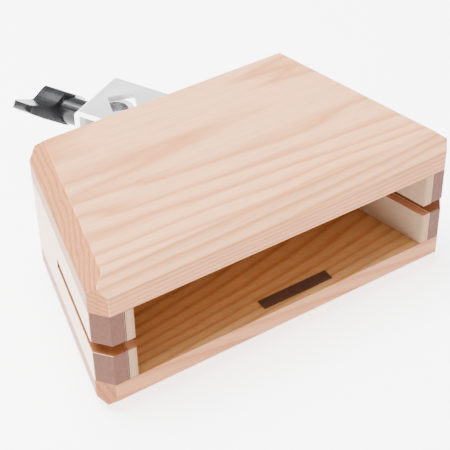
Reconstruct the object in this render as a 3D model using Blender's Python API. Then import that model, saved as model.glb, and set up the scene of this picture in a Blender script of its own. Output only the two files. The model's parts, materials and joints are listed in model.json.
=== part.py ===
"""Wood block: a tapered ash box with an open front, and a steel rod clamp with an eye bolt and a wing nut.

Metres, +Z up. The origin is the middle of the bottom face, the open front faces -Y, and the clamp is behind, at +Y.
"""

import math

import bmesh
import bpy
from mathutils import Matrix, Vector

MM = 0.001

# Body: a tapered box with planed corners
FRONT_WIDTH = 196.0 * MM
DEPTH = 111.0 * MM
SIDE_TAPER = math.radians(12.8)
BOARD_THICK = 18.5 * MM
CAVITY_HEIGHT = 41.0 * MM
SIDE_THICK = 14.5 * MM
LINER_THICK = 4.0 * MM
BACK_THICK = 15.0 * MM
CHAMFER = 8.2 * MM
WOOD_GAP = 0.3 * MM

# Sound slot, sawn from the front through both side walls
SLOT_HEIGHT = 6.0 * MM
SLOT_LENGTH = 64.0 * MM

# Bare label on the cavity's floor
LABEL_LENGTH = 38.3 * MM
LABEL_WIDTH = 6.0 * MM
LABEL_THICK = 0.4 * MM
LABEL_OFFSET = 9.8 * MM
LABEL_FROM_FRONT = 3.8 * MM
LABEL_GAP = 0.2 * MM

# Mounting plate on the back board, and its screws
PLATE_WIDTH = 84.0 * MM
PLATE_HEIGHT = 37.0 * MM
PLATE_THICK = 3.0 * MM
PLATE_CORNER = 4.0 * MM
SCREW_SPACING_X = 72.0 * MM
SCREW_SPACING_Z = 21.0 * MM
SCREW_RADIUS = 2.0 * MM
SCREW_LENGTH = 13.0 * MM
SCREW_HEAD_RADIUS = 3.7 * MM
SCREW_HEAD_HEIGHT = 2.4 * MM
CROSS_SLOT_WIDTH = 0.9 * MM
CROSS_SLOT_LENGTH = 4.4 * MM
CROSS_SLOT_DEPTH = 1.2 * MM

# Clamp channel: a bent plate with a square rod hole set cornerwise in each flange
CLAMP_TURN = math.radians(117.7)
CLAMP_CENTRE_X = -14.2 * MM
CLAMP_REACH = 43.9 * MM
CHANNEL_WIDTH = 34.5 * MM
CHANNEL_HEIGHT = 32.0 * MM
CHANNEL_THICK = 3.0 * MM
CHANNEL_BEND = 4.2 * MM
NOTCH_FROM_WEB = 9.0 * MM
ROD_HOLE_SIDE = 13.6 * MM
BOLT_HOLE_RADIUS = 3.5 * MM
METAL_GAP = 0.3 * MM

# Eye bolt
EYE_BORE_RADIUS = 6.75 * MM
EYE_WALL = 3.4 * MM
EYE_HEIGHT = 20.0 * MM
BOLT_RADIUS = 3.0 * MM
BOLT_BEYOND_WEB = 24.0 * MM

# Washer, wing nut and its threaded insert
WASHER_RADIUS = 6.8 * MM
WASHER_THICK = 1.2 * MM
HUB_RADIUS = 7.4 * MM
HUB_LENGTH = 30.0 * MM
INSERT_RADIUS = 5.0 * MM
INSERT_LENGTH = 14.0 * MM
INSERT_FLAT_COUNT = 6
WING_REST_TURN = math.radians(39.7)
WING_REACH = 27.0 * MM
WING_START = 15.0 * MM
WING_WIDTH_AT_HUB = 15.0 * MM
WING_WIDTH_AT_TIP = 11.6 * MM
WING_SWEEP = 0.29
WING_CREST = 8.4 * MM
WING_FOOT = 7.6 * MM
WING_DIP = 0.8 * MM
WING_TIP_TOP = 3.2 * MM
WING_CREST_END = 5.0 * MM
WING_DIP_START = 13.0 * MM

# Derived sizes
HEIGHT = 2 * BOARD_THICK + CAVITY_HEIGHT
MID_HEIGHT = HEIGHT / 2
FRONT_Y = -DEPTH / 2
BACK_Y = DEPTH / 2
BACK_WIDTH = FRONT_WIDTH - 2 * DEPTH * math.tan(SIDE_TAPER)
PLATE_BACK_Y = BACK_Y + METAL_GAP + PLATE_THICK
EYE_RADIUS = EYE_BORE_RADIUS + EYE_WALL
EYE_CENTRE = -(CHANNEL_THICK + METAL_GAP + EYE_RADIUS)
WASHER_START = METAL_GAP
HUB_START = WASHER_START + WASHER_THICK + METAL_GAP
CUT_CLEAR = 10.0 * MM

ASH = (0.82, 0.58, 0.40, 1.0)
ASH_END = (0.52, 0.30, 0.19, 1.0)
PLY = (0.80, 0.62, 0.42, 1.0)
LABEL_BROWN = (0.13, 0.07, 0.04, 1.0)
STEEL = (0.78, 0.78, 0.80, 1.0)
BLACK = (0.02, 0.02, 0.025, 1.0)
BRASS = (0.72, 0.55, 0.25, 1.0)


def clear_scene():
    for obj in list(bpy.data.objects):
        bpy.data.objects.remove(obj, do_unlink=True)


def material(name, colour, roughness, metallic=0.0):
    made = bpy.data.materials.new(name)
    made.use_nodes = True
    shader = made.node_tree.nodes["Principled BSDF"]
    shader.inputs["Base Color"].default_value = colour
    shader.inputs["Roughness"].default_value = roughness
    shader.inputs["Metallic"].default_value = metallic
    made.diffuse_color = colour
    return made


def add_object(name, bm, finish=None, parent=None, smooth=False):
    bmesh.ops.recalc_face_normals(bm, faces=bm.faces)
    mesh = bpy.data.meshes.new(name)
    bm.to_mesh(mesh)
    bm.free()
    if smooth:
        mesh.shade_smooth()
        mesh.set_sharp_from_angle(angle=math.radians(35))
    obj = bpy.data.objects.new(name, mesh)
    bpy.context.scene.collection.objects.link(obj)
    obj.parent = parent
    if finish:
        mesh.materials.append(finish)
    return obj


def cutter(name, bm, parent=None):
    obj = add_object(name, bm, parent=parent)
    obj.hide_render = True
    obj.display_type = "WIRE"
    return obj


def boolean(obj, other, operation):
    modifier = obj.modifiers.new(f"{operation.title()} {other.name}", "BOOLEAN")
    modifier.operation = operation
    modifier.solver = "EXACT"
    modifier.object = other
    return modifier


def round_edges(obj, width, segments=2, angle=math.radians(35)):
    modifier = obj.modifiers.new("Rounded edges", "BEVEL")
    modifier.width = width
    modifier.segments = segments
    modifier.limit_method = "ANGLE"
    modifier.angle_limit = angle
    modifier.use_clamp_overlap = True


def prism(outline, start, end, axis="Z"):
    """A closed prism: the outline's points are (x, y) for Z, (y, z) for X and (x, z) for Y."""
    place = {
        "Z": lambda a, b, t: (a, b, t),
        "X": lambda a, b, t: (t, a, b),
        "Y": lambda a, b, t: (a, t, b),
    }[axis]
    bm = bmesh.new()
    low = [bm.verts.new(place(a, b, start)) for a, b in outline]
    high = [bm.verts.new(place(a, b, end)) for a, b in outline]
    bm.faces.new(low)
    bm.faces.new(high)
    for i in range(len(outline)):
        j = (i + 1) % len(outline)
        bm.faces.new((low[i], low[j], high[j], high[i]))
    bmesh.ops.recalc_face_normals(bm, faces=bm.faces)
    return bm


def box(low, high):
    outline = [(low[0], low[1]), (high[0], low[1]), (high[0], high[1]), (low[0], high[1])]
    return prism(outline, low[2], high[2])


def cylinder(radius, start, end, centre=(0.0, 0.0), axis="X", sides=32):
    outline = [
        (
            centre[0] + radius * math.cos(2 * math.pi * i / sides),
            centre[1] + radius * math.sin(2 * math.pi * i / sides),
        )
        for i in range(sides)
    ]
    return prism(outline, start, end, axis)


def arc(centre, radius, start, end, steps):
    return [
        (
            centre[0] + radius * math.cos(start + (end - start) * i / steps),
            centre[1] + radius * math.sin(start + (end - start) * i / steps),
        )
        for i in range(steps + 1)
    ]


def trim(bm, point, normal):
    """Cuts away what lies beyond a plane and closes the cut of a convex block."""
    cut = bmesh.ops.bisect_plane(
        bm,
        geom=bm.verts[:] + bm.edges[:] + bm.faces[:],
        plane_co=point,
        plane_no=normal,
        clear_outer=True,
        dist=1e-7,
    )
    edges = [e for e in cut["geom_cut"] if isinstance(e, bmesh.types.BMEdge)]
    if edges:
        bmesh.ops.contextual_create(bm, geom=edges)


def half_width(y, inset=0.0):
    """Half of the body's width at y, less an inset measured square to the slanted side."""
    return FRONT_WIDTH / 2 - (y - FRONT_Y) * math.tan(SIDE_TAPER) - inset / math.cos(SIDE_TAPER)


def outer_faces():
    """A point on each outer face of the body, with the face's outward normal."""
    side_x = math.cos(SIDE_TAPER)
    side_y = math.sin(SIDE_TAPER)
    return {
        "front": (Vector((0, FRONT_Y, 0)), Vector((0, -1, 0))),
        "back": (Vector((0, BACK_Y, 0)), Vector((0, 1, 0))),
        "left": (Vector((-FRONT_WIDTH / 2, FRONT_Y, 0)), Vector((-side_x, side_y, 0))),
        "right": (Vector((FRONT_WIDTH / 2, FRONT_Y, 0)), Vector((side_x, side_y, 0))),
        "top": (Vector((0, 0, HEIGHT)), Vector((0, 0, 1))),
        "bottom": (Vector((0, 0, 0)), Vector((0, 0, -1))),
    }


def chamfer_planes():
    """The planes that take the same chamfer off each of the body's twelve edges."""
    faces = outer_faces()
    walls = ("front", "left", "right", "back")
    pairs = [(wall, cap) for wall in walls for cap in ("top", "bottom")]
    pairs += [("front", "left"), ("front", "right"), ("back", "left"), ("back", "right")]
    planes = []
    for one, two in pairs:
        point_one, normal_one = faces[one]
        point_two, normal_two = faces[two]
        along = normal_one.cross(normal_two)
        rows = Matrix((normal_one, normal_two, along))
        edge = rows.inverted() @ Vector((normal_one.dot(point_one), normal_two.dot(point_two), 0))
        inward = (normal_one * normal_one.dot(normal_two) - normal_two).normalized()
        planes.append((edge + inward * CHAMFER, (normal_one + normal_two).normalized()))
    return planes


def body_block(name, outline, start, end, finish):
    """A board of the body, with the body's chamfers taken off where they reach it."""
    bm = prism(outline, start, end)
    for point, normal in chamfer_planes():
        trim(bm, point, normal)
    return add_object(name, bm, finish)


def body_outline():
    front = FRONT_WIDTH / 2
    back = BACK_WIDTH / 2
    return [(-front, FRONT_Y), (front, FRONT_Y), (back, BACK_Y), (-back, BACK_Y)]


def wall_outline(side, outer, inner, back):
    """A slanted wall between two depths below the outer side face, from the front to back."""
    return [
        (side * half_width(FRONT_Y, outer), FRONT_Y),
        (side * half_width(FRONT_Y, inner), FRONT_Y),
        (side * half_width(back, inner), back),
        (side * half_width(back, outer), back),
    ]


def make_boards(ash):
    body_block("top_board", body_outline(), HEIGHT - BOARD_THICK, HEIGHT, ash)
    body_block("bottom_board", body_outline(), 0.0, BOARD_THICK, ash)


def make_walls(ash_end, ply):
    """Side boards, plywood liners and the back board, with the sound slot through both sides."""
    low = BOARD_THICK + WOOD_GAP
    high = HEIGHT - BOARD_THICK - WOOD_GAP
    slot = cutter(
        "slot_cutter",
        box(
            (-FRONT_WIDTH, FRONT_Y - CUT_CLEAR, MID_HEIGHT - SLOT_HEIGHT / 2),
            (FRONT_WIDTH, FRONT_Y + SLOT_LENGTH, MID_HEIGHT + SLOT_HEIGHT / 2),
        ),
    )
    liner_outer = SIDE_THICK + WOOD_GAP
    liner_inner = liner_outer + LINER_THICK
    back_front_y = BACK_Y - BACK_THICK
    for side, word in ((-1, "left"), (1, "right")):
        board = body_block(f"{word}_side_board", wall_outline(side, 0.0, SIDE_THICK, BACK_Y), low, high, ash_end)
        boolean(board, slot, "DIFFERENCE")
        outline = wall_outline(side, liner_outer, liner_inner, back_front_y - WOOD_GAP)
        liner = add_object(f"{word}_liner", prism(outline, low, high), ply)
        boolean(liner, slot, "DIFFERENCE")
    corners = [
        (half_width(back_front_y, liner_outer), back_front_y),
        (half_width(BACK_Y, liner_outer), BACK_Y),
    ]
    outline = [(-x, y) for x, y in corners] + [(x, y) for x, y in reversed(corners)]
    back = add_object("back_board", prism(outline, low, high), ash_end)
    for index, (x, z) in enumerate(screw_places(), start=1):
        hole = cylinder(
            SCREW_RADIUS + METAL_GAP,
            BACK_Y - SCREW_LENGTH + PLATE_THICK,
            BACK_Y + CUT_CLEAR,
            (x, z),
            "Y",
            16,
        )
        boolean(back, cutter(f"pilot_hole_cutter_{index}", hole), "DIFFERENCE")


def make_label(brown):
    low = BOARD_THICK + LABEL_GAP
    y = FRONT_Y + LABEL_FROM_FRONT
    bm = box(
        (LABEL_OFFSET - LABEL_LENGTH / 2, y, low),
        (LABEL_OFFSET + LABEL_LENGTH / 2, y + LABEL_WIDTH, low + LABEL_THICK),
    )
    add_object("floor_label", bm, brown)


def screw_places():
    return [
        (x * SCREW_SPACING_X / 2, MID_HEIGHT + z * SCREW_SPACING_Z / 2)
        for z in (1, -1)
        for x in (-1, 1)
    ]


def rounded_rectangle(width, height, radius, centre, steps=4):
    points = []
    for x, y, start in ((1, 1, 0), (-1, 1, 90), (-1, -1, 180), (1, -1, 270)):
        middle = (
            centre[0] + x * (width / 2 - radius),
            centre[1] + y * (height / 2 - radius),
        )
        points += arc(middle, radius, math.radians(start), math.radians(start + 90), steps)
    return points


def make_plate(steel):
    outline = rounded_rectangle(PLATE_WIDTH, PLATE_HEIGHT, PLATE_CORNER, (0.0, MID_HEIGHT))
    start = BACK_Y + METAL_GAP
    plate = add_object("mounting_plate", prism(outline, start, start + PLATE_THICK, "Y"), steel)
    for index, place in enumerate(screw_places(), start=1):
        hole = cylinder(SCREW_RADIUS + METAL_GAP, BACK_Y - CUT_CLEAR, PLATE_BACK_Y + CUT_CLEAR, place, "Y", 16)
        boolean(plate, cutter(f"plate_hole_cutter_{index}", hole), "DIFFERENCE")


def screw_mesh(x, z):
    """A pan head turned from a profile, with its shank in the pilot hole and a cross recess."""
    seat = PLATE_BACK_Y + METAL_GAP
    tip = BACK_Y - SCREW_LENGTH + PLATE_THICK + METAL_GAP
    crown = 0.55
    profile = [
        (0.0, tip),
        (SCREW_RADIUS * 0.3, tip),
        (SCREW_RADIUS, tip + 2 * SCREW_RADIUS),
        (SCREW_RADIUS, seat),
        (SCREW_HEAD_RADIUS, seat),
        (SCREW_HEAD_RADIUS, seat + SCREW_HEAD_HEIGHT * crown),
        (SCREW_HEAD_RADIUS * 0.8, seat + SCREW_HEAD_HEIGHT * 0.88),
        (SCREW_HEAD_RADIUS * 0.45, seat + SCREW_HEAD_HEIGHT),
        (0.0, seat + SCREW_HEAD_HEIGHT),
    ]
    bm = bmesh.new()
    verts = [bm.verts.new((x + radius, y, z)) for radius, y in profile]
    edges = [bm.edges.new(pair) for pair in zip(verts, verts[1:])]
    bmesh.ops.spin(
        bm,
        geom=verts + edges,
        cent=(x, 0.0, z),
        axis=(0.0, 1.0, 0.0),
        angle=2 * math.pi,
        steps=20,
        use_merge=True,
    )
    bmesh.ops.remove_doubles(bm, verts=bm.verts, dist=1e-6)
    return bm


def make_screws(steel):
    top = PLATE_BACK_Y + METAL_GAP + SCREW_HEAD_HEIGHT
    half_long = CROSS_SLOT_LENGTH / 2
    half_wide = CROSS_SLOT_WIDTH / 2
    for index, (x, z) in enumerate(screw_places(), start=1):
        screw = add_object(f"plate_screw_{index}", screw_mesh(x, z), steel, smooth=True)
        for word, across, tall in (("level", half_long, half_wide), ("upright", half_wide, half_long)):
            recess = box(
                (x - across, top - CROSS_SLOT_DEPTH, z - tall),
                (x + across, top + CUT_CLEAR, z + tall),
            )
            boolean(screw, cutter(f"{word}_recess_cutter_{index}", recess), "DIFFERENCE")


def clamp_frame():
    """An empty on the bolt's axis at the channel's outer face: +X leads out along the bolt."""
    frame = bpy.data.objects.new("clamp_frame", None)
    bpy.context.scene.collection.objects.link(frame)
    frame.location = (CLAMP_CENTRE_X, BACK_Y + CLAMP_REACH, MID_HEIGHT)
    frame.rotation_euler = (0.0, 0.0, CLAMP_TURN)
    return frame


def channel_profile():
    """The channel's bent section in (x, z): flanges run to -x from the upright web."""
    half = CHANNEL_HEIGHT / 2
    inner = CHANNEL_BEND - CHANNEL_THICK
    back = -3 * CHANNEL_WIDTH
    high = half - CHANNEL_BEND
    quarter = math.pi / 2
    outer_low = arc((-CHANNEL_BEND, -high), CHANNEL_BEND, -quarter, 0.0, 5)
    outer_high = arc((-CHANNEL_BEND, high), CHANNEL_BEND, 0.0, quarter, 5)
    inner_high = arc((-CHANNEL_BEND, high), inner, quarter, 0.0, 5)
    inner_low = arc((-CHANNEL_BEND, -high), inner, 0.0, -quarter, 5)
    outside = [(back, -half)] + outer_low + outer_high + [(back, half)]
    inside = [(back, half - CHANNEL_THICK)] + inner_high + inner_low + [(back, -half + CHANNEL_THICK)]
    return outside + inside


def rod_hole_centre():
    return -(NOTCH_FROM_WEB + ROD_HOLE_SIDE / math.sqrt(2))


def make_channel(frame, steel):
    half = CHANNEL_WIDTH / 2
    channel = add_object("clamp_channel", prism(channel_profile(), -half, half, "Y"), steel, frame, smooth=True)
    reach = ROD_HOLE_SIDE / math.sqrt(2)
    middle = rod_hole_centre()
    corners = [(middle + reach, 0.0), (middle, reach), (middle - reach, 0.0), (middle, -reach)]
    hole = cutter("rod_hole_cutter", prism(corners, -CHANNEL_HEIGHT, CHANNEL_HEIGHT), frame)
    boolean(channel, hole, "DIFFERENCE")
    bolt_hole = cutter("bolt_hole_cutter", cylinder(BOLT_HOLE_RADIUS, -CUT_CLEAR, CUT_CLEAR, sides=24), frame)
    boolean(channel, bolt_hole, "DIFFERENCE")
    far = 4 * CHANNEL_WIDTH
    behind = cutter("back_trim_cutter", box((-far, -far, -far), (far, PLATE_BACK_Y + METAL_GAP, far)))
    boolean(channel, behind, "DIFFERENCE")


def make_eye_bolt(frame, steel):
    """The eye is a tall band with an upright bore, and its shank runs out through the web."""
    half = EYE_HEIGHT / 2
    eye = add_object(
        "eye_bolt",
        cylinder(EYE_RADIUS, -half, half, (EYE_CENTRE, 0.0), "Z", 48),
        steel,
        frame,
        smooth=True,
    )
    round_edges(eye, 0.9 * MM)
    shank = cylinder(BOLT_RADIUS, EYE_CENTRE + EYE_BORE_RADIUS + EYE_WALL / 3, BOLT_BEYOND_WEB, sides=24)
    boolean(eye, cutter("shank_former", shank, frame), "UNION")
    bore = cylinder(EYE_BORE_RADIUS, -EYE_HEIGHT, EYE_HEIGHT, (EYE_CENTRE, 0.0), "Z", 48)
    boolean(eye, cutter("eye_bore_cutter", bore, frame), "DIFFERENCE")


def make_washer(frame, steel):
    washer = add_object(
        "washer",
        cylinder(WASHER_RADIUS, WASHER_START, WASHER_START + WASHER_THICK),
        steel,
        frame,
        smooth=True,
    )
    hole = cylinder(BOLT_RADIUS + METAL_GAP, -CUT_CLEAR, CUT_CLEAR, sides=24)
    boolean(washer, cutter("washer_hole_cutter", hole, frame), "DIFFERENCE")


def wing_profile():
    """The S-shaped section of both wings, square to the bolt: (reach, thickness)."""
    rise = []
    steps = 8
    for i in range(steps + 1):
        share = i / steps
        ease = share * share * (3 - 2 * share)
        rise.append(
            (
                WING_CREST_END + (WING_DIP_START - WING_CREST_END) * share,
                WING_CREST - (WING_CREST + WING_DIP) * ease,
            )
        )
    tip_radius = (WING_FOOT - WING_TIP_TOP) / 2
    tip_middle = (WING_REACH - tip_radius, -(WING_FOOT + WING_TIP_TOP) / 2)
    tip = arc(tip_middle, tip_radius, math.pi / 2, -math.pi / 2, 6)
    belly = [(WING_REACH * 0.55, -WING_FOOT - 0.7 * MM)]
    half = rise + tip + belly
    return half + [(-reach, -thick) for reach, thick in half]


def wing_plan():
    """The wings' outline seen square to their faces: (along the bolt, reach)."""
    near = WING_START + WING_SWEEP * WING_REACH
    far = near + WING_WIDTH_AT_TIP
    root = WING_START + WING_WIDTH_AT_HUB
    corner = 3.5 * MM
    quarter = math.pi / 2
    tip = arc((near + corner, WING_REACH - corner), corner, 2 * quarter, quarter, 4)
    tip += arc((far - corner, WING_REACH - corner), corner, quarter, 0.0, 4)
    other_tip = [(x, -reach) for x, reach in reversed(tip)]
    return [(WING_START, 0.0)] + tip + [(root, 0.0)] + other_tip


def make_wing_nut(frame, plastic, brass):
    """The nut turns about the bolt, so its empty lies on the bolt's axis."""
    turning = bpy.data.objects.new("wing_turn", None)
    bpy.context.scene.collection.objects.link(turning)
    turning.parent = frame
    turning.rotation_euler = (WING_REST_TURN, 0.0, 0.0)
    reach = 2 * WING_REACH
    wing = add_object("wing_nut", prism(wing_profile(), WING_START - MM, WING_START + reach, "X"), plastic, turning)
    plan = cutter("wing_plan_cutter", prism(wing_plan(), -reach, reach, "Z"), turning)
    boolean(wing, plan, "INTERSECT")
    hub = cylinder(HUB_RADIUS, HUB_START, HUB_START + HUB_LENGTH, sides=40)
    boolean(wing, cutter("hub_former", hub, turning), "UNION")
    insert_end = HUB_START + INSERT_LENGTH
    pocket_radius = INSERT_RADIUS + METAL_GAP
    pocket = cylinder(
        pocket_radius / math.cos(math.pi / INSERT_FLAT_COUNT),
        -CUT_CLEAR,
        insert_end + METAL_GAP,
        sides=INSERT_FLAT_COUNT,
    )
    boolean(wing, cutter("insert_pocket_cutter", pocket, turning), "DIFFERENCE")
    well_end = max(BOLT_BEYOND_WEB, insert_end) + METAL_GAP
    well = cylinder(BOLT_RADIUS + METAL_GAP, 0.0, well_end, sides=24)
    boolean(wing, cutter("bolt_well_cutter", well, turning), "DIFFERENCE")
    body = cylinder(
        INSERT_RADIUS / math.cos(math.pi / INSERT_FLAT_COUNT),
        HUB_START,
        insert_end,
        sides=INSERT_FLAT_COUNT,
    )
    insert = add_object("wing_nut_insert", body, brass, turning)
    thread = cylinder(BOLT_RADIUS + METAL_GAP, -CUT_CLEAR, 2 * HUB_LENGTH, sides=24)
    boolean(insert, cutter("insert_thread_cutter", thread, turning), "DIFFERENCE")


def main():
    clear_scene()
    ash = material("ash", ASH, 0.5)
    ash_end = material("ash_end_grain", ASH_END, 0.6)
    ply = material("plywood", PLY, 0.55)
    brown = material("label", LABEL_BROWN, 0.4)
    steel = material("plated_steel", STEEL, 0.2, 1.0)
    plastic = material("black_plastic", BLACK, 0.25)
    brass = material("brass", BRASS, 0.35, 1.0)
    make_boards(ash)
    make_walls(ash_end, ply)
    make_label(brown)
    make_plate(steel)
    make_screws(steel)
    frame = clamp_frame()
    make_channel(frame, steel)
    make_eye_bolt(frame, steel)
    make_washer(frame, steel)
    make_wing_nut(frame, plastic, brass)


main()
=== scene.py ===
"""Wood block with a rear rod clamp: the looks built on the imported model, as a small add-on.

Every operator in the Wood Block panel makes one group of pieces, or gives it its finish.
Lengths are metres, and the open front faces -Y.
"""

import json
import math

import bmesh
import bpy
from mathutils import Matrix, Vector

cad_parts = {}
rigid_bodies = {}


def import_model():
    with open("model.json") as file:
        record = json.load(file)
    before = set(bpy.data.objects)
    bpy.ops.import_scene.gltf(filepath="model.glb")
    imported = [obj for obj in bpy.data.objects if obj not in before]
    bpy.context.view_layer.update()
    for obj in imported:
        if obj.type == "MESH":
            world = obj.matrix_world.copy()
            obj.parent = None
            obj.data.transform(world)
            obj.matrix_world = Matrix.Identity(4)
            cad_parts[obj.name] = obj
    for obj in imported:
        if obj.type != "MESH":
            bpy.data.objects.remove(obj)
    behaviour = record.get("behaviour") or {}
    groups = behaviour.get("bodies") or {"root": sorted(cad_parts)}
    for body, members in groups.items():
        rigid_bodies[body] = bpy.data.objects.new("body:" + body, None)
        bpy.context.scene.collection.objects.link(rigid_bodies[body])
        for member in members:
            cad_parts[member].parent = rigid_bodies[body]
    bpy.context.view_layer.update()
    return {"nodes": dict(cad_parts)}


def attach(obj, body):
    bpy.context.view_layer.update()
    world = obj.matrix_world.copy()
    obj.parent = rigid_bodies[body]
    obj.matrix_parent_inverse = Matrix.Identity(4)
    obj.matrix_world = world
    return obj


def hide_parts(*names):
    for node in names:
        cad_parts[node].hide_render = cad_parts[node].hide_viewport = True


for startup_object in list(bpy.data.objects):
    bpy.data.objects.remove(startup_object, do_unlink=True)
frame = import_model()

bl_info = {
    "name": "Wood Block",
    "version": (1, 0, 0),
    "blender": (4, 5, 0),
    "location": "3D View > Sidebar > Wood Block",
    "description": "Boards, finishes and studio for a wood block with a rod clamp",
    "category": "Object",
}

PLATED_NODES = (
    "mounting_plate",
    "plate_screw_1",
    "plate_screw_2",
    "plate_screw_3",
    "plate_screw_4",
    "clamp_channel",
    "washer",
)
WAVE_PERIOD = 0.314159
FACING_MASK = ((0.8, 0.0), (0.9, 1.0))
# Ramp for the painted front shade, by how squarely a face looks to the front.
PAINTED_FRONT_SHADE_MASK = ((0.82, 0.0), (0.95, 1.0))
WOOD_SHINE = 0.15
PLASTIC_SHINE = 0.35
FLOOR_DROP = 0.0002


class WoodBlockBody(bpy.types.PropertyGroup):
    """Sizes of the glued body, before its edges are sanded."""

    front_width: bpy.props.FloatProperty(
        name="Front width",
        description="Width at the front, before the chamfers",
        default=0.196,
        unit="LENGTH",
    )
    depth: bpy.props.FloatProperty(
        name="Depth",
        description="From the front face to the back face",
        default=0.111,
        unit="LENGTH",
    )
    height: bpy.props.FloatProperty(
        name="Height",
        description="From the bottom face to the top face",
        default=0.078,
        unit="LENGTH",
    )
    taper: bpy.props.FloatProperty(
        name="Taper",
        description="Turn of each side face from straight back",
        default=math.radians(12.8),
        subtype="ANGLE",
        unit="ROTATION",
    )
    board_thick: bpy.props.FloatProperty(
        name="Board thickness",
        description="Thickness of the top and bottom boards",
        default=0.0185,
        unit="LENGTH",
    )
    side_thick: bpy.props.FloatProperty(
        name="Side thickness",
        description="Thickness of the two side boards",
        default=0.0145,
        unit="LENGTH",
    )
    liner_thick: bpy.props.FloatProperty(
        name="Liner thickness",
        description="Thickness of the plywood liners",
        default=0.004,
        unit="LENGTH",
    )
    glue_gap: bpy.props.FloatProperty(
        name="Glue gap",
        description="Gap between a side board and its liner",
        default=0.0003,
        unit="LENGTH",
    )
    chamfer: bpy.props.FloatProperty(
        name="Chamfer",
        description="Chamfer along the body's outer edges, measured on each face",
        default=0.0082,
        unit="LENGTH",
    )
    slot_height: bpy.props.FloatProperty(
        name="Slot height",
        description="Height of the sound slot in each side",
        default=0.006,
        unit="LENGTH",
    )
    slot_length: bpy.props.FloatProperty(
        name="Slot length",
        description="How far the sound slots run back from the front face",
        default=0.064,
        unit="LENGTH",
    )
    sanding: bpy.props.FloatProperty(
        name="Sanding",
        description="Rounding that the sanding leaves on the outer edges",
        default=0.0005,
        unit="LENGTH",
    )


class WoodBlockStage(bpy.types.PropertyGroup):
    """The studio and the camera."""

    floor_size: bpy.props.FloatProperty(
        name="Floor size",
        description="Side of the square floor",
        default=8.0,
        unit="LENGTH",
    )
    key_power: bpy.props.FloatProperty(
        name="Key power",
        description="Power of the large light overhead",
        default=105.0,
        unit="POWER",
    )
    side_power: bpy.props.FloatProperty(
        name="Side power",
        description="Power of the low light at the left",
        default=16.0,
        unit="POWER",
    )
    fill_power: bpy.props.FloatProperty(
        name="Fill power",
        description="Power of the light at the front",
        default=3.0,
        unit="POWER",
    )
    sky: bpy.props.FloatProperty(
        name="Sky",
        description="Strength of the even light from all round",
        default=1.3,
        subtype="FACTOR",
    )
    floor_glow: bpy.props.FloatProperty(
        name="Floor glow",
        description="Light that the floor gives off, as a lit table does",
        default=3.0,
        subtype="FACTOR",
    )
    lens: bpy.props.FloatProperty(
        name="Lens",
        description="Focal length for a sensor 36 mm wide",
        default=107.45,
        unit="CAMERA",
    )
    camera_place: bpy.props.FloatVectorProperty(
        name="Camera place",
        description="Where the camera stands",
        default=(-0.2625, -0.4218, 0.4470),
        subtype="TRANSLATION",
        unit="LENGTH",
    )
    camera_turn: bpy.props.FloatVectorProperty(
        name="Camera turn",
        description="Yaw, downward pitch and roll of the camera",
        default=(math.radians(32.113), math.radians(40.096), math.radians(1.1375)),
        subtype="EULER",
        unit="ROTATION",
    )


def node(tree, kind, inputs=None, **settings):
    """Adds a shader node. An input takes a value, or an output socket to link."""
    made = tree.nodes.new(kind)
    for key, value in settings.items():
        setattr(made, key, value)
    for key, value in (inputs or {}).items():
        if isinstance(value, bpy.types.NodeSocket):
            tree.links.new(value, made.inputs[key])
        else:
            made.inputs[key].default_value = value
    return made


def maths(tree, operation, one, two=0.0):
    return node(tree, "ShaderNodeMath", {0: one, 1: two}, operation=operation).outputs[0]


def ramp(tree, factor, *stops):
    """A colour ramp: each stop is a position and a grey level or a colour."""
    made = node(tree, "ShaderNodeValToRGB", {"Fac": factor})
    elements = made.color_ramp.elements
    while len(elements) < len(stops):
        elements.new(0.5)
    for element, (position, colour) in zip(elements, stops):
        element.position = position
        grey = isinstance(colour, (int, float))
        element.color = (colour, colour, colour, 1) if grey else (*colour, 1)
    return made.outputs["Color"]


def mix(tree, factor, one, two, blend="MIX"):
    made = node(tree, "ShaderNodeMix", data_type="RGBA", blend_type=blend)
    for index, value in ((0, factor), (6, one), (7, two)):
        if isinstance(value, bpy.types.NodeSocket):
            tree.links.new(value, made.inputs[index])
        elif index:
            made.inputs[index].default_value = (*value, 1)
        else:
            made.inputs[index].default_value = value
    return made.outputs[2]


def new_material(name):
    made = bpy.data.materials.new(name)
    made.use_nodes = True
    tree = made.node_tree
    return made, tree, tree.nodes["Principled BSDF"]


def place_of(tree):
    return node(tree, "ShaderNodeTexCoord").outputs["Object"]


def noise(tree, place, scale, detail=3.0):
    return node(tree, "ShaderNodeTexNoise", {"Vector": place, "Scale": scale, "Detail": detail}).outputs


def facing(tree, direction):
    """How squarely the surface faces a direction, from -1 to 1."""
    normal = node(tree, "ShaderNodeTexCoord").outputs["Normal"]
    made = node(tree, "ShaderNodeVectorMath", {0: normal, 1: direction}, operation="DOT_PRODUCT")
    return made.outputs["Value"]


def bump(tree, shader, height, distance, strength):
    made = node(tree, "ShaderNodeBump", {"Height": height, "Distance": distance, "Strength": strength})
    tree.links.new(made.outputs["Normal"], shader.inputs["Normal"])


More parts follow.
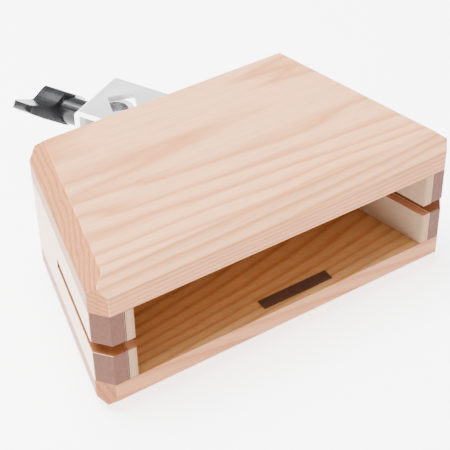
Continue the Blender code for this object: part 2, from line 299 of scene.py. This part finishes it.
def ash(name, turn, pith, tilt, spacing, early, late, end_tint, contrast):
    """Ash cut from a log: rings about a pith, with pores and streaks along the grain.

    turn is the grain's direction in plan, from +X, and contrast how strongly the late wood shows.
    Returns the parts that a caller may repaint.
    """
    made, tree, shader = new_material(name)
    grain = (math.cos(turn), math.sin(turn), 0.0)
    along = node(tree, "ShaderNodeMapping", {"Vector": place_of(tree), "Rotation": (0, 0, -turn)})
    slope = node(
        tree,
        "ShaderNodeMapping",
        {"Vector": along.outputs[0], "Location": pith, "Rotation": (0, tilt, 0)},
    ).outputs[0]
    stretched = node(tree, "ShaderNodeMapping", {"Vector": slope, "Scale": (0.14, 1, 1)}).outputs[0]
    drift = noise(tree, stretched, 38.0, 2.0)["Color"]
    centred = node(tree, "ShaderNodeVectorMath", {0: drift, 1: (0.5, 0.5, 0.5)}, operation="SUBTRACT")
    wander = node(
        tree,
        "ShaderNodeVectorMath",
        {0: centred.outputs[0], 1: (0.007, 0.007, 0.007), 2: slope},
        operation="MULTIPLY_ADD",
    ).outputs[0]
    rings = node(
        tree,
        "ShaderNodeTexWave",
        {"Vector": wander, "Scale": WAVE_PERIOD / spacing, "Distortion": 0.0},
        wave_type="RINGS",
        rings_direction="X",
        wave_profile="SAW",
    ).outputs["Fac"]
    late_wood = ramp(tree, rings, (0.0, 0.25), (0.12, 0.0), (0.5, 0.1), (0.86, 1.0), (1.0, 0.35))
    streaked = node(tree, "ShaderNodeMapping", {"Vector": slope, "Scale": (0.035, 1, 1)}).outputs[0]
    streaks = noise(tree, streaked, 620.0, 4.0)["Fac"]
    pores = noise(tree, streaked, 2400.0, 2.0)["Fac"]
    pore_mask = ramp(tree, pores, (0.55, 0.0), (0.68, 1.0))
    blotch = noise(tree, stretched, 24.0, 2.0)["Fac"]
    amount = maths(tree, "MULTIPLY", late_wood, contrast)
    colour = mix(tree, amount, early, late)
    colour = mix(tree, 0.35, colour, ramp(tree, streaks, (0.3, 0.55), (0.7, 1.0)), "MULTIPLY")
    colour = mix(tree, 0.3, colour, ramp(tree, blotch, (0.3, (1, 0.8, 0.72)), (0.7, 1.0)), "MULTIPLY")
    open_pores = maths(tree, "MULTIPLY", pore_mask, 0.3)
    colour = mix(tree, open_pores, colour, tuple(0.6 * c for c in late))
    end = maths(tree, "ABSOLUTE", facing(tree, grain))
    end_mask = ramp(tree, end, (0.5, 0.0), (0.72, 1.0))
    speckle = noise(tree, place_of(tree), 1500.0, 2.0)["Fac"]
    end_colour = mix(tree, 1.0, colour, end_tint, "MULTIPLY")
    end_colour = mix(tree, 0.5, end_colour, ramp(tree, speckle, (0.35, 0.5), (0.62, 1.0)), "MULTIPLY")
    colour = mix(tree, end_mask, colour, end_colour)
    tree.links.new(colour, shader.inputs["Base Color"])
    tree.links.new(ramp(tree, streaks, (0.3, 0.5), (0.7, 0.36)), shader.inputs["Roughness"])
    shader.inputs["Specular IOR Level"].default_value = WOOD_SHINE
    shader.inputs["Coat Weight"].default_value = 0.04
    shader.inputs["Coat Roughness"].default_value = 0.35
    relief = maths(tree, "SUBTRACT", maths(tree, "MULTIPLY", late_wood, 0.3), pore_mask)
    bump(tree, shader, relief, 0.00006, 0.35)
    return made, tree, shader, colour


def repaint(parts, mask, tint):
    """Multiplies the colour by a tint where the mask is 1."""
    made, tree, shader, colour = parts
    tinted = mix(tree, 1.0, colour, tint, "MULTIPLY")
    colour = mix(tree, mask, colour, tinted)
    tree.links.new(colour, shader.inputs["Base Color"])
    return made, tree, shader, colour


def plywood(name, side, body):
    """Thin plywood: veneers in layers across the liner, with dark glue between them."""
    made, tree, shader = new_material(name)
    outward = Vector((side * math.cos(body.taper), math.sin(body.taper), 0))
    corner = Vector((side * body.front_width / 2, -body.depth / 2, 0))
    across = node(
        tree,
        "ShaderNodeVectorMath",
        {0: place_of(tree), 1: tuple(-outward)},
        operation="DOT_PRODUCT",
    ).outputs["Value"]
    inside = outward.dot(corner) - body.side_thick - body.glue_gap
    depth = maths(tree, "ADD", across, inside)
    share = maths(tree, "DIVIDE", depth, body.liner_thick)
    layers = ramp(
        tree,
        share,
        (0.0, (0.30, 0.15, 0.08)),
        (0.06, (0.30, 0.17, 0.09)),
        (0.66, (0.32, 0.18, 0.095)),
        (0.7, (0.26, 0.13, 0.07)),
        (0.75, (0.27, 0.145, 0.07)),
    )
    stretched = node(
        tree,
        "ShaderNodeMapping",
        {"Vector": place_of(tree), "Scale": (1, 0.06, 1)},
    ).outputs[0]
    fibres = noise(tree, stretched, 900.0, 4.0)["Fac"]
    colour = mix(tree, 0.4, layers, ramp(tree, fibres, (0.3, 0.6), (0.7, 1.0)), "MULTIPLY")
    face = maths(tree, "ABSOLUTE", facing(tree, tuple(outward)))
    face_colour = mix(tree, fibres, (0.22, 0.14, 0.09), (0.34, 0.22, 0.14))
    colour = mix(tree, ramp(tree, face, *FACING_MASK), colour, face_colour)
    burnt = ramp(tree, maths(tree, "ABSOLUTE", facing(tree, (0, 0, 1))), *FACING_MASK)
    colour = mix(tree, burnt, colour, (0.34, 0.16, 0.08))
    tree.links.new(colour, shader.inputs["Base Color"])
    shader.inputs["Roughness"].default_value = 0.6
    shader.inputs["Specular IOR Level"].default_value = WOOD_SHINE
    bump(tree, shader, fibres, 0.00005, 0.4)
    return made


def metal(name, colour, dark, rough):
    """Bright plated or machined metal with faint rolling marks and a cloudy gloss."""
    made, tree, shader = new_material(name)
    place = place_of(tree)
    cloud = noise(tree, place, 70.0, 4.0)["Fac"]
    grit = noise(tree, place, 1800.0, 2.0)["Fac"]
    tree.links.new(mix(tree, cloud, dark, colour), shader.inputs["Base Color"])
    gloss = node(
        tree,
        "ShaderNodeMapRange",
        {"Value": cloud, "From Min": 0.3, "From Max": 0.7, "To Min": rough * 0.8, "To Max": rough * 1.3},
    )
    tree.links.new(gloss.outputs["Result"], shader.inputs["Roughness"])
    shader.inputs["Metallic"].default_value = 0.8
    bump(tree, shader, grit, 0.00002, 0.25)
    return made


def plastic(name, colour, worn, rough):
    """Moulded plastic or paint: a faint skin texture and small changes of gloss."""
    made, tree, shader = new_material(name)
    place = place_of(tree)
    cloud = noise(tree, place, 120.0, 4.0)["Fac"]
    skin = noise(tree, place, 1400.0, 3.0)["Fac"]
    tree.links.new(mix(tree, cloud, colour, worn), shader.inputs["Base Color"])
    gloss = node(
        tree,
        "ShaderNodeMapRange",
        {"Value": cloud, "From Min": 0.3, "From Max": 0.7, "To Min": rough, "To Max": rough * 1.6},
    )
    tree.links.new(gloss.outputs["Result"], shader.inputs["Roughness"])
    shader.inputs["Specular IOR Level"].default_value = PLASTIC_SHINE
    bump(tree, shader, skin, 0.00002, 0.3)
    return made


def finish_node(name, material):
    """Gives a CAD node its material, in the object's own material slots."""
    obj = frame["nodes"][name]
    if not obj.material_slots:
        obj.data.materials.append(None)
    for place in obj.material_slots:
        place.link = "OBJECT"
        place.material = material


def body_faces(body):
    """A point on each outer face of the body, with the face's outward normal."""
    front = -body.depth / 2
    side_x = math.cos(body.taper)
    side_y = math.sin(body.taper)
    half = body.front_width / 2
    return {
        "front": (Vector((0, front, 0)), Vector((0, -1, 0))),
        "back": (Vector((0, -front, 0)), Vector((0, 1, 0))),
        "left": (Vector((-half, front, 0)), Vector((-side_x, side_y, 0))),
        "right": (Vector((half, front, 0)), Vector((side_x, side_y, 0))),
        "top": (Vector((0, 0, body.height)), Vector((0, 0, 1))),
        "bottom": (Vector((0, 0, 0)), Vector((0, 0, -1))),
    }


def chamfer_planes(body):
    """The planes that take the same chamfer off each of the body's twelve edges."""
    faces = body_faces(body)
    pairs = [(wall, cap) for wall in ("front", "left", "right", "back") for cap in ("top", "bottom")]
    pairs += [("front", "left"), ("front", "right"), ("back", "left"), ("back", "right")]
    planes = []
    for one, two in pairs:
        point_one, normal_one = faces[one]
        point_two, normal_two = faces[two]
        rows = Matrix((normal_one, normal_two, normal_one.cross(normal_two)))
        edge = rows.inverted() @ Vector((normal_one.dot(point_one), normal_two.dot(point_two), 0))
        inward = (normal_one * normal_one.dot(normal_two) - normal_two).normalized()
        planes.append((edge + inward * body.chamfer, (normal_one + normal_two).normalized()))
    return planes


def new_box(name, low, high):
    """A box between two corners, with its place in the mesh."""
    bpy.ops.object.select_all(action="DESELECT")
    middle = [(a + b) / 2 for a, b in zip(low, high)]
    size = [b - a for a, b in zip(low, high)]
    bpy.ops.mesh.primitive_cube_add(size=1, location=middle, scale=size)
    obj = bpy.context.object
    obj.name = name
    obj.data.name = name
    bpy.ops.object.transform_apply(location=True, rotation=True, scale=True)
    return obj


def saw(obj, planes):
    """Cuts away what lies beyond each plane and closes the cut."""
    bpy.context.view_layer.objects.active = obj
    bpy.ops.object.mode_set(mode="EDIT")
    for point, normal in planes:
        bpy.ops.mesh.select_all(action="SELECT")
        bpy.ops.mesh.bisect(
            plane_co=point,
            plane_no=normal,
            use_fill=True,
            clear_outer=True,
            threshold=0.000001,
        )
    bpy.ops.mesh.select_all(action="SELECT")
    bpy.ops.mesh.normals_make_consistent(inside=False)
    bpy.ops.mesh.select_all(action="DESELECT")
    bpy.ops.object.mode_set(mode="OBJECT")


def cut_slot(obj, body):
    """Saws the sound slot through a side board."""
    front = -body.depth / 2
    low = (-body.front_width, front - 0.01, (body.height - body.slot_height) / 2)
    high = (body.front_width, front + body.slot_length, (body.height + body.slot_height) / 2)
    blade = new_box("slot_blade", low, high)
    modifier = obj.modifiers.new("Sound slot", "BOOLEAN")
    modifier.operation = "DIFFERENCE"
    modifier.solver = "EXACT"
    modifier.object = blade
    bpy.ops.object.select_all(action="DESELECT")
    bpy.context.view_layer.objects.active = obj
    obj.select_set(True)
    bpy.ops.object.modifier_apply(modifier=modifier.name)
    bpy.data.objects.remove(blade, do_unlink=True)


def sand(obj, joints, width):
    """Rounds every edge, apart from those that lie on a glued joint at one of these heights."""
    bm = bmesh.new()
    bm.from_mesh(obj.data)
    weights = bm.edges.layers.float.new("bevel_weight_edge")
    for edge in bm.edges:
        heights = [vertex.co.z for vertex in edge.verts]
        glued = any(all(abs(height - joint) < 0.00001 for height in heights) for joint in joints)
        sharp = edge.calc_face_angle(0.0) > math.radians(15)
        edge[weights] = 1.0 if sharp and not glued else 0.0
    bm.to_mesh(obj.data)
    bm.free()
    modifier = obj.modifiers.new("Sanded edges", "BEVEL")
    modifier.width = width
    modifier.segments = 3
    modifier.limit_method = "WEIGHT"
    modifier.use_clamp_overlap = True


class WOODBLOCK_OT_boards(bpy.types.Operator):
    """Make the top, bottom and side boards, flush at their glued joints, and give them ash grain"""

    bl_idname = "woodblock.boards"
    bl_label = "Make the boards"

    def execute(self, context):
        body = context.scene.wood_block_body
        faces = body_faces(body)
        planes = chamfer_planes(body) + [faces["left"], faces["right"]]
        half = body.front_width / 2
        front = -body.depth / 2
        lower = body.board_thick
        upper = body.height - body.board_thick
        joints = (lower, upper)
        top = ash(
            "ash_top",
            turn=0.0,
            pith=(0.0, -0.022, 0.15),
            tilt=math.radians(0.9),
            spacing=0.0023,
            early=(0.70, 0.37, 0.19),
            late=(0.46, 0.16, 0.055),
            end_tint=(0.60, 0.42, 0.25),
            contrast=0.75,
        )
        bottom = ash(
            "ash_bottom",
            turn=0.0,
            pith=(0.0, -0.012, 0.032),
            tilt=math.radians(-8.0),
            spacing=0.0042,
            early=(0.52, 0.24, 0.105),
            late=(0.36, 0.12, 0.035),
            end_tint=(0.6, 0.42, 0.26),
            contrast=0.8,
        )
        # Painted shade: faces of the top and bottom boards that look to the front are darkened, as if
        # turned away from the light.
        front_painted_shade = ramp(top[1], facing(top[1], (0, -1, 0)), *PAINTED_FRONT_SHADE_MASK)
        top = repaint(top, front_painted_shade, (0.72, 0.60, 0.50))
        front_painted_shade = ramp(bottom[1], facing(bottom[1], (0, -1, 0)), *PAINTED_FRONT_SHADE_MASK)
        bottom = repaint(bottom, front_painted_shade, (0.86, 0.78, 0.70))
        upward = ramp(bottom[1], facing(bottom[1], (0, 0, 1)), *FACING_MASK)
        bottom = repaint(bottom, upward, (0.80, 0.98, 0.92))
        # Painted shade: the cavity floor is darkened towards the back of the opening, where the shade
        # falls inside the body.
        tree = bottom[1]
        depth = node(tree, "ShaderNodeSeparateXYZ", {"Vector": place_of(tree)}).outputs["Y"]
        painted_shade_towards_back = node(tree, "ShaderNodeMapRange", {"Value": depth, "From Min": -0.045, "From Max": 0.035})
        inside = maths(tree, "MULTIPLY", painted_shade_towards_back.outputs["Result"], upward)
        bottom = repaint(bottom, inside, (0.42, 0.32, 0.28))
        for name, low, high, finish in (
            ("top", upper, body.height, top[0]),
            ("bottom", 0.0, lower, bottom[0]),
        ):
            board = new_box(f"{name}_board_sanded", (-half, front, low), (half, -front, high))
            saw(board, planes)
            sand(board, joints, body.sanding)
            board.data.materials.append(finish)
            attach(board, "block")
            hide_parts(f"{name}_board")
        for name, side in (("left", -1), ("right", 1)):
            point, normal = faces[name]
            inner = (point - normal * body.side_thick, -normal)
            low = (-half if side < 0 else 0.0, front, lower)
            high = (0.0 if side < 0 else half, -front, upper)
            board = new_box(f"{name}_side_board_sanded", low, high)
            saw(board, planes + [inner])
            cut_slot(board, body)
            sand(board, joints, body.sanding)
            side_wood = ash(
                f"ash_{name}",
                turn=math.pi / 2 + side * body.taper,
                pith=(0.0, 0.19, -0.03),
                tilt=math.radians(1.0),
                spacing=0.0042,
                early=(0.80, 0.56, 0.43),
                late=(0.70, 0.42, 0.29),
                end_tint=(0.125, 0.046, 0.022),
                contrast=0.35,
            )
            tree = side_wood[1]
            slot_face = ramp(tree, maths(tree, "ABSOLUTE", facing(tree, (0, 0, 1))), *FACING_MASK)
            side_wood = repaint(side_wood, slot_face, (0.28, 0.15, 0.07))
            board.data.materials.append(side_wood[0])
            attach(board, "block")
            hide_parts(f"{name}_side_board")
        back = ash(
            "ash_back",
            turn=0.0,
            pith=(0.0, -0.13, -0.03),
            tilt=math.radians(2.0),
            spacing=0.0038,
            early=(0.42, 0.30, 0.22),
            late=(0.32, 0.20, 0.14),
            end_tint=(0.7, 0.5, 0.4),
            contrast=0.5,
        )
        finish_node("back_board", back[0])
        return {"FINISHED"}


class WOODBLOCK_OT_lining(bpy.types.Operator):
    """Give the plywood liners and the label on the floor their finishes"""

    bl_idname = "woodblock.lining"
    bl_label = "Finish the lining"

    def execute(self, context):
        body = context.scene.wood_block_body
        finish_node("left_liner", plywood("plywood_left", -1, body))
        finish_node("right_liner", plywood("plywood_right", 1, body))
        brown = plastic("label_brown", (0.035, 0.016, 0.009), (0.055, 0.026, 0.015), 0.4)
        finish_node("floor_label", brown)
        return {"FINISHED"}


class WOODBLOCK_OT_clamp(bpy.types.Operator):
    """Give the plate, screws, channel, washer and eye bolt their plated finish, the eye bolt's darkened
    as painted shade
    """

    bl_idname = "woodblock.clamp"
    bl_label = "Finish the rod clamp"

    def execute(self, context):
        plated = metal("plated_steel", (0.97, 0.97, 0.98), (0.9, 0.9, 0.92), 0.3)
        for name in PLATED_NODES:
            finish_node(name, plated)
        # Painted shade: the eye bolt has the same plating, but its colour is darkened to stand in for
        # the shade inside the channel.
        finish_node("eye_bolt", metal("plated_eye_painted_shade", (0.5, 0.5, 0.52), (0.36, 0.36, 0.38), 0.22))
        return {"FINISHED"}


class WOODBLOCK_OT_wing_nut(bpy.types.Operator):
    """Give the wing nut its moulded plastic and its insert the brass"""

    bl_idname = "woodblock.wing_nut"
    bl_label = "Finish the wing nut"

    def execute(self, context):
        black = plastic("black_plastic", (0.003, 0.003, 0.004), (0.006, 0.006, 0.007), 0.16)
        finish_node("wing_nut", black)
        finish_node("wing_nut_insert", metal("brass", (0.82, 0.62, 0.28), (0.66, 0.46, 0.2), 0.28))
        return {"FINISHED"}


class WOODBLOCK_OT_stage(bpy.types.Operator):
    """Make the pale floor, the soft lights and the camera"""

    bl_idname = "woodblock.stage"
    bl_label = "Set the stage"

    def execute(self, context):
        stage = context.scene.wood_block_stage
        bpy.ops.object.select_all(action="DESELECT")
        bpy.ops.mesh.primitive_plane_add(size=stage.floor_size, location=(0, 0, -FLOOR_DROP))
        floor = context.object
        floor.name = "floor"
        made, tree, shader = new_material("pale_floor")
        cloud = noise(tree, place_of(tree), 3.0)["Fac"]
        pale = mix(tree, cloud, (0.93, 0.93, 0.93), (0.96, 0.96, 0.96))
        tree.links.new(pale, shader.inputs["Base Color"])
        shader.inputs["Roughness"].default_value = 0.9
        shader.inputs["Emission Color"].default_value = (1, 1, 1, 1)
        shader.inputs["Emission Strength"].default_value = stage.floor_glow
        floor.data.materials.append(made)
        world = bpy.data.worlds.new("studio")
        world.use_nodes = True
        world.node_tree.nodes["Background"].inputs["Color"].default_value = (1, 1, 1, 1)
        world.node_tree.nodes["Background"].inputs["Strength"].default_value = stage.sky
        context.scene.world = world
        for name, place, size, power in (
            ("key_light", (-0.3, 0.25, 1.5), 1.2, stage.key_power),
            ("side_light", (-1.4, 0.1, 0.45), 0.9, stage.side_power),
            ("fill_light", (0.3, -1.5, 0.9), 1.0, stage.fill_power),
        ):
            lamp = bpy.data.lights.new(name, "AREA")
            lamp.shape = "DISK"
            lamp.size = size
            lamp.energy = power
            light = bpy.data.objects.new(name, lamp)
            context.scene.collection.objects.link(light)
            light.location = place
            light.rotation_euler = (-Vector(place)).to_track_quat("-Z", "Y").to_euler()
        yaw, pitch, roll = stage.camera_turn
        level_ahead = math.cos(pitch)
        ahead = Vector((math.sin(yaw) * level_ahead, math.cos(yaw) * level_ahead, -math.sin(pitch)))
        right = Vector((math.cos(yaw), -math.sin(yaw), 0))
        down = ahead.cross(right)
        level = right * math.cos(roll) + down * math.sin(roll)
        upright = right * math.sin(roll) - down * math.cos(roll)
        lens = bpy.data.cameras.new("camera")
        lens.lens = stage.lens
        lens.sensor_width = 36.0
        camera = bpy.data.objects.new("camera", lens)
        context.scene.collection.objects.link(camera)
        turn = Matrix((level, upright, -ahead)).transposed().to_4x4()
        camera.matrix_world = Matrix.Translation(stage.camera_place) @ turn
        context.scene.camera = camera
        return {"FINISHED"}


OPERATORS = (
    WOODBLOCK_OT_boards,
    WOODBLOCK_OT_lining,
    WOODBLOCK_OT_clamp,
    WOODBLOCK_OT_wing_nut,
    WOODBLOCK_OT_stage,
)


class WOODBLOCK_PT_panel(bpy.types.Panel):
    """The sidebar panel that lists the operators and their sizes."""

    bl_idname = "WOODBLOCK_PT_panel"
    bl_label = "Wood Block"
    bl_space_type = "VIEW_3D"
    bl_region_type = "UI"
    bl_category = "Wood Block"

    def draw(self, context):
        for operator in OPERATORS:
            self.layout.operator(operator.bl_idname)
        for group in (context.scene.wood_block_body, context.scene.wood_block_stage):
            for name in group.__annotations__:
                self.layout.prop(group, name)


CLASSES = (WoodBlockBody, WoodBlockStage, *OPERATORS, WOODBLOCK_PT_panel)


def register():
    for one in CLASSES:
        bpy.utils.register_class(one)
    bpy.types.Scene.wood_block_body = bpy.props.PointerProperty(type=WoodBlockBody)
    bpy.types.Scene.wood_block_stage = bpy.props.PointerProperty(type=WoodBlockStage)


def unregister():
    del bpy.types.Scene.wood_block_stage
    del bpy.types.Scene.wood_block_body
    for one in reversed(CLASSES):
        bpy.utils.unregister_class(one)


def main():
    register()
    bpy.ops.woodblock.boards()
    bpy.ops.woodblock.lining()
    bpy.ops.woodblock.clamp()
    bpy.ops.woodblock.wing_nut()
    bpy.ops.woodblock.stage()


if __name__ == "__main__":
    main()
